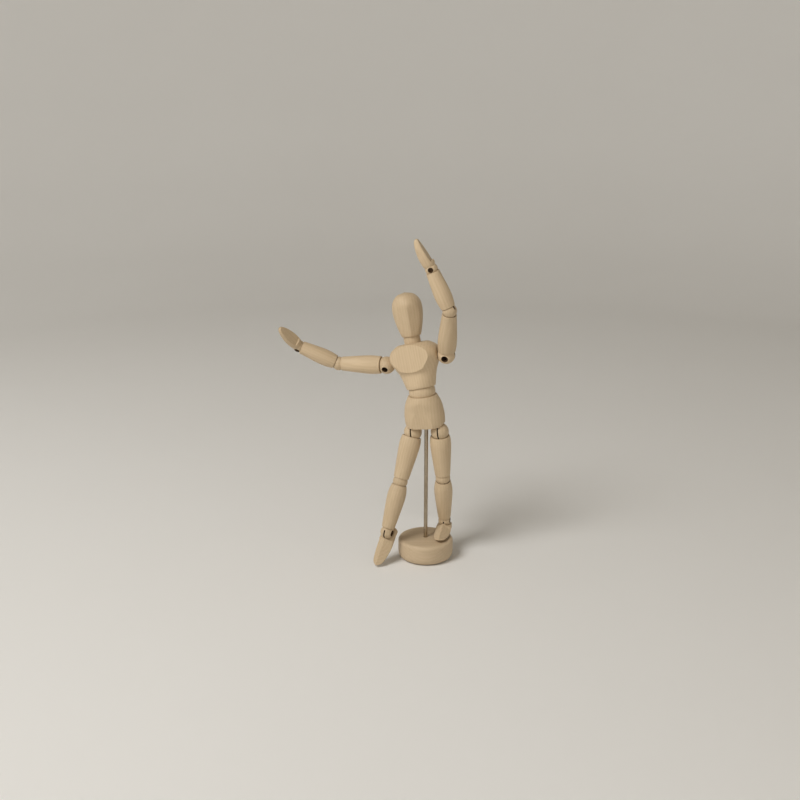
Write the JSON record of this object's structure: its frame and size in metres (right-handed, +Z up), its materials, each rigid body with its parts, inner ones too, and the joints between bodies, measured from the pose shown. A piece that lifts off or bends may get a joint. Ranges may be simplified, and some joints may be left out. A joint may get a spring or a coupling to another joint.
{
  "type": "wooden artist mannequin",
  "caption": "Jointed wooden drawing mannequin on a round stand: turned limbs on spring-held balls, carried by a steel rod and posed by friction.",
  "frame": {"origin": "centre of the stand's underside", "axes": "+Z up along the rod, -Y towards the viewer of the picture, +X to the viewer's right, the figure's left"},
  "size_m": [0.2071, 0.083, 0.3884],
  "materials": {
    "wood": "smooth unvarnished pale wood",
    "rod_steel": "plain drawn steel",
    "spring_steel": "plain spring wire"
  },
  "bodies": {
    "stand": {"base": "wood", "support_rod": "rod_steel"},
    "pelvis": {"pelvis": "wood", "left_hip_spring": "spring_steel", "right_hip_spring": "spring_steel"},
    "chest": {"chest": "wood", "spine_spring": "spring_steel", "shoulder_spring": "spring_steel"},
    "head": {"head": "wood", "head_spring": "spring_steel"},
    "neck": {"neck": "wood"},
    "neck_spring": {"neck_spring": "spring_steel"},
    "left_hand": {"left_hand": "wood"},
    "left_forearm_spring": {"left_forearm_spring": "spring_steel"},
    "left_forearm": {"left_forearm": "wood"},
    "left_elbow_ball": {"left_elbow_ball": "wood"},
    "left_upper_arm": {"left_upper_arm": "wood", "left_upper_arm_spring": "spring_steel"},
    "left_shoulder_ball": {"left_shoulder_ball": "wood"},
    "right_hand": {"right_hand": "wood"},
    "right_forearm_spring": {"right_forearm_spring": "spring_steel"},
    "right_forearm": {"right_forearm": "wood"},
    "right_elbow_ball": {"right_elbow_ball": "wood"},
    "right_upper_arm": {"right_upper_arm": "wood", "right_upper_arm_spring": "spring_steel"},
    "right_shoulder_ball": {"right_shoulder_ball": "wood"},
    "waist": {"waist": "wood"},
    "waist_spring": {"waist_spring": "spring_steel"},
    "left_foot": {"left_foot": "wood", "left_foot_spring": "spring_steel"},
    "left_ankle_ball": {"left_ankle_ball": "wood"},
    "left_shin": {"left_shin": "wood", "left_shin_spring": "spring_steel"},
    "left_knee_ball": {"left_knee_ball": "wood"},
    "left_thigh": {"left_thigh": "wood", "left_thigh_spring": "spring_steel"},
    "left_hip_ball": {"left_hip_ball": "wood"},
    "right_foot": {"right_foot": "wood", "right_foot_spring": "spring_steel"},
    "right_ankle_ball": {"right_ankle_ball": "wood"},
    "right_shin": {"right_shin": "wood", "right_shin_spring": "spring_steel"},
    "right_knee_ball": {"right_knee_ball": "wood"},
    "right_thigh": {"right_thigh": "wood", "right_thigh_spring": "spring_steel"},
    "right_hip_ball": {"right_hip_ball": "wood"}
  },
  "joints": [
    {"name": "waist_turn", "type": "hinge", "parent": "pelvis", "child": "waist_spring", "pos_m": [-0.00519, 0.00159, 0.20786], "axis": [-0.1049, 0.0321, 0.994], "range_deg": [-40.5, 49.5]},
    {"name": "waist_bend", "type": "hinge", "parent": "waist_spring", "child": "waist", "pos_m": [-0.00519, 0.00159, 0.20786], "axis": [0.9247, -0.3647, 0.1094], "range_deg": [-7.5, 20.5]},
    {"name": "chest_lean", "type": "hinge", "parent": "waist", "child": "chest", "pos_m": [-0.00519, 0.00159, 0.20786], "axis": [0.3756, 0.9209, -0.104], "range_deg": [-6, 22]},
    {"name": "head_turn", "type": "hinge", "parent": "chest", "child": "neck_spring", "pos_m": [-0.01693, 0.01307, 0.26713], "axis": [-0.1909, 0.1866, 0.9637], "range_deg": [-100, 60]},
    {"name": "head_nod", "type": "hinge", "parent": "neck_spring", "child": "neck", "pos_m": [-0.01693, 0.01307, 0.26713], "axis": [0.9807, -0.0065, 0.1955], "range_deg": [-21, 15]},
    {"name": "head_tilt", "type": "hinge", "parent": "neck", "child": "head", "pos_m": [-0.01693, 0.01307, 0.26713], "axis": [0.0327, 0.9908, -0.1311], "range_deg": [-20, 16]},
    {"name": "left_shoulder_swing", "type": "hinge", "parent": "chest", "child": "left_shoulder_ball", "pos_m": [0.02224, -0.00454, 0.25267], "axis": [0.9069, -0.3421, 0.2459], "range_deg": [-26, 204]},
    {"name": "left_arm_raise", "type": "hinge", "parent": "left_shoulder_ball", "child": "left_upper_arm", "pos_m": [0.02224, -0.00454, 0.25267], "axis": [-0.2539, -0.9096, -0.329], "range_deg": [-102.5, 9.5]},
    {"name": "left_elbow_turn", "type": "hinge", "parent": "left_upper_arm", "child": "left_elbow_ball", "pos_m": [0.02441, -0.0253, 0.30839], "axis": [-0.0364, 0.3489, -0.9364], "range_deg": [-20, 160]},
    {"name": "left_elbow_bend", "type": "hinge", "parent": "left_elbow_ball", "child": "left_forearm", "pos_m": [0.02441, -0.0253, 0.30839], "axis": [0.5691, 0.7775, 0.2675], "range_deg": [-13, 77]},
    {"name": "left_wrist_turn", "type": "hinge", "parent": "left_forearm", "child": "left_forearm_spring", "pos_m": [0.00358, -0.02626, 0.35548], "axis": [0.4044, 0.0186, -0.9144], "range_deg": [-62, 118]},
    {"name": "left_wrist_bend", "type": "hinge", "parent": "left_forearm_spring", "child": "left_hand", "pos_m": [0.00358, -0.02626, 0.35548], "axis": [0.1664, 0.9816, 0.0936], "range_deg": [-40, 50]},
    {"name": "left_hip_swing", "type": "hinge", "parent": "pelvis", "child": "left_hip_ball", "pos_m": [0.01568, -0.00479, 0.16047], "axis": [0.9505, -0.2906, 0.1097], "range_deg": [-3.2, 26.8]},
    {"name": "left_leg_raise", "type": "hinge", "parent": "left_hip_ball", "child": "left_thigh", "pos_m": [0.01568, -0.00479, 0.16047], "axis": [0.2744, 0.9511, 0.1418], "range_deg": [-39.2, 2.3]},
    {"name": "left_knee_turn", "type": "hinge", "parent": "left_thigh", "child": "left_knee_ball", "pos_m": [0.02029, 0.00287, 0.10013], "axis": [-0.0756, -0.1256, 0.9892], "range_deg": [-24, 33]},
    {"name": "left_knee_bend", "type": "hinge", "parent": "left_knee_ball", "child": "left_shin", "pos_m": [0.02029, 0.00287, 0.10013], "axis": [0.9787, 0.1804, 0.0977], "range_deg": [-5, 35]},
    {"name": "left_ankle_turn", "type": "hinge", "parent": "left_shin", "child": "left_ankle_ball", "pos_m": [0.02353, 0.01809, 0.0396], "axis": [-0.0518, -0.2436, 0.9685], "range_deg": [-16.91, 33.09]},
    {"name": "left_ankle_pitch", "type": "hinge", "parent": "left_ankle_ball", "child": "left_foot", "pos_m": [0.02353, 0.01809, 0.0396], "axis": [0.9782, -0.2078, 0], "range_deg": [-10.58, 3.42]},
    {"name": "right_shoulder_swing", "type": "hinge", "parent": "chest", "child": "right_shoulder_ball", "pos_m": [-0.04668, 0.02146, 0.23398], "axis": [0.9069, -0.3421, 0.2459], "range_deg": [-208.9, 31.1]},
    {"name": "right_arm_raise", "type": "hinge", "parent": "right_shoulder_ball", "child": "right_upper_arm", "pos_m": [-0.04668, 0.02146, 0.23398], "axis": [0.2365, 0.8965, 0.3747], "range_deg": [-93.5, 21.5]},
    {"name": "right_elbow_turn", "type": "hinge", "parent": "right_upper_arm", "child": "right_elbow_ball", "pos_m": [-0.104, 0.03734, 0.23217], "axis": [0.9632, -0.2669, 0.0304], "range_deg": [-184.9, 10.1]},
    {"name": "right_elbow_bend", "type": "hinge", "parent": "right_elbow_ball", "child": "right_forearm", "pos_m": [-0.104, 0.03734, 0.23217], "axis": [0.2248, 0.863, 0.4525], "range_deg": [-73.9, 16.1]},
    {"name": "right_wrist_turn", "type": "hinge", "parent": "right_forearm", "child": "right_forearm_spring", "pos_m": [-0.15108, 0.03869, 0.25298], "axis": [0.9143, -0.0263, -0.4041], "range_deg": [-109, 71]},
    {"name": "right_wrist_bend", "type": "hinge", "parent": "right_forearm_spring", "child": "right_hand", "pos_m": [-0.15108, 0.03869, 0.25298], "axis": [0.3222, 0.6517, 0.6867], "range_deg": [-83.5, 11.5]},
    {"name": "right_hip_swing", "type": "hinge", "parent": "pelvis", "child": "right_hip_ball", "pos_m": [-0.01568, 0.00479, 0.15685], "axis": [0.9505, -0.2906, 0.1097], "range_deg": [-25, 8]},
    {"name": "right_leg_raise", "type": "hinge", "parent": "right_hip_ball", "child": "right_thigh", "pos_m": [-0.01568, 0.00479, 0.15685], "axis": [0.3096, 0.9154, -0.2573], "range_deg": [-8.5, 21.5]},
    {"name": "right_knee_turn", "type": "hinge", "parent": "right_thigh", "child": "right_knee_ball", "pos_m": [-0.03065, -0.00646, 0.09879], "axis": [0.2453, 0.1845, 0.9517], "range_deg": [-59, 61]},
    {"name": "right_knee_bend", "type": "hinge", "parent": "right_knee_ball", "child": "right_shin", "pos_m": [-0.03065, -0.00646, 0.09879], "axis": [0.9131, -0.3737, -0.1629], "range_deg": [-40.5, 11.5]},
    {"name": "right_ankle_turn", "type": "hinge", "parent": "right_shin", "child": "right_ankle_ball", "pos_m": [-0.04651, -0.01947, 0.03976], "axis": [0.2538, 0.2082, 0.9446], "range_deg": [-39.5, 50.5]},
    {"name": "right_ankle_pitch", "type": "hinge", "parent": "right_ankle_ball", "child": "right_foot", "pos_m": [-0.04651, -0.01947, 0.03976], "axis": [0.8784, -0.4586, -0.1349], "range_deg": [-89, 4]},
    {"name": "figure_turn", "type": "hinge", "parent": "stand", "child": "pelvis", "pos_m": [0, 0, 0.15866], "axis": [0, 0, 1], "continuous": true}
  ]
}
